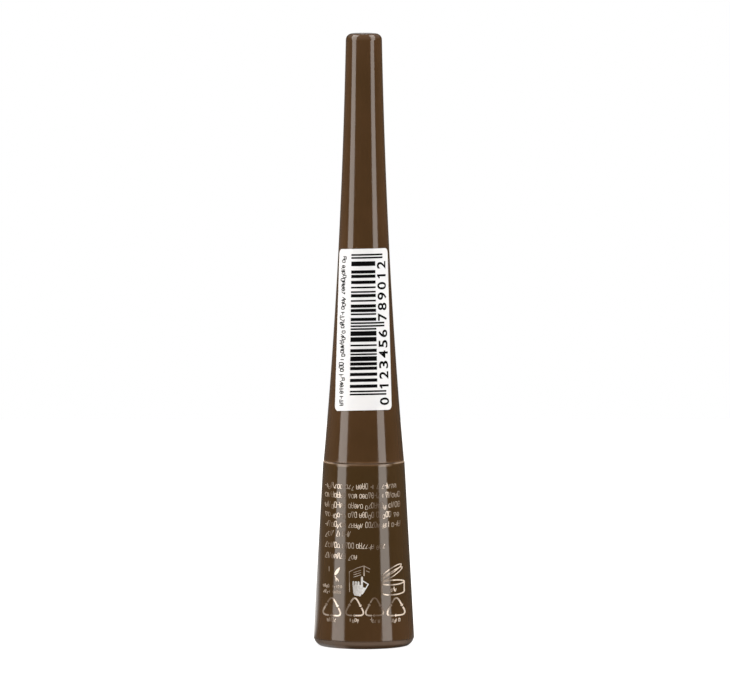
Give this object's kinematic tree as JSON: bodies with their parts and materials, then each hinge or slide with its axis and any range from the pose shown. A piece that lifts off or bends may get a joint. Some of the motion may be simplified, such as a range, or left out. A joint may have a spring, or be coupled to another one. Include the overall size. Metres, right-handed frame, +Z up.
{
  "type": "liquid eyeliner bottle",
  "caption": "Slim trumpet-shaped liquid eyeliner bottle: screw cap with brush applicator on a flared bottle holding a threaded vial and wiper.",
  "frame": {"origin": "centre of the base, on the surface that the bottle stands on", "axes": "+Z up along the axis of the bottle and cap; -Y is the front, where the label and the print are; +X is to the right of someone who looks at the front"},
  "size_m": [0.018, 0.018, 0.1095],
  "materials": {
    "brown_gloss": "glossy brown",
    "natural_plastic": "natural, slightly translucent",
    "soft_plastic": "soft, milky",
    "foam": "closed-cell foam",
    "black_plastic": "satin black",
    "bright_metal": "bright",
    "dark_nylon": "bristles",
    "white_film": "smooth white label film"
  },
  "bodies": {
    "bottle": {"base_plug": "brown_gloss", "bottle_shell": "brown_gloss", "vial": "natural_plastic", "wiper": "soft_plastic"},
    "seal": {"seal_washer": "foam"},
    "cap": {"cap_shell": "brown_gloss", "cap_insert": "natural_plastic", "applicator_stem": "black_plastic", "brush_ferrule": "bright_metal", "brush_tuft": "dark_nylon", "barcode_label": "white_film"}
  },
  "joints": [
    {"name": "cap_lift", "type": "slide", "parent": "bottle", "child": "seal", "axis": [0, 0, 1], "range_m": [0, 0.04]},
    {"name": "cap_turn", "type": "hinge", "parent": "seal", "child": "cap", "pos_m": [0, 0, 0.03315], "axis": [0, 0, 1], "range_deg": [0, 540]}
  ]
}
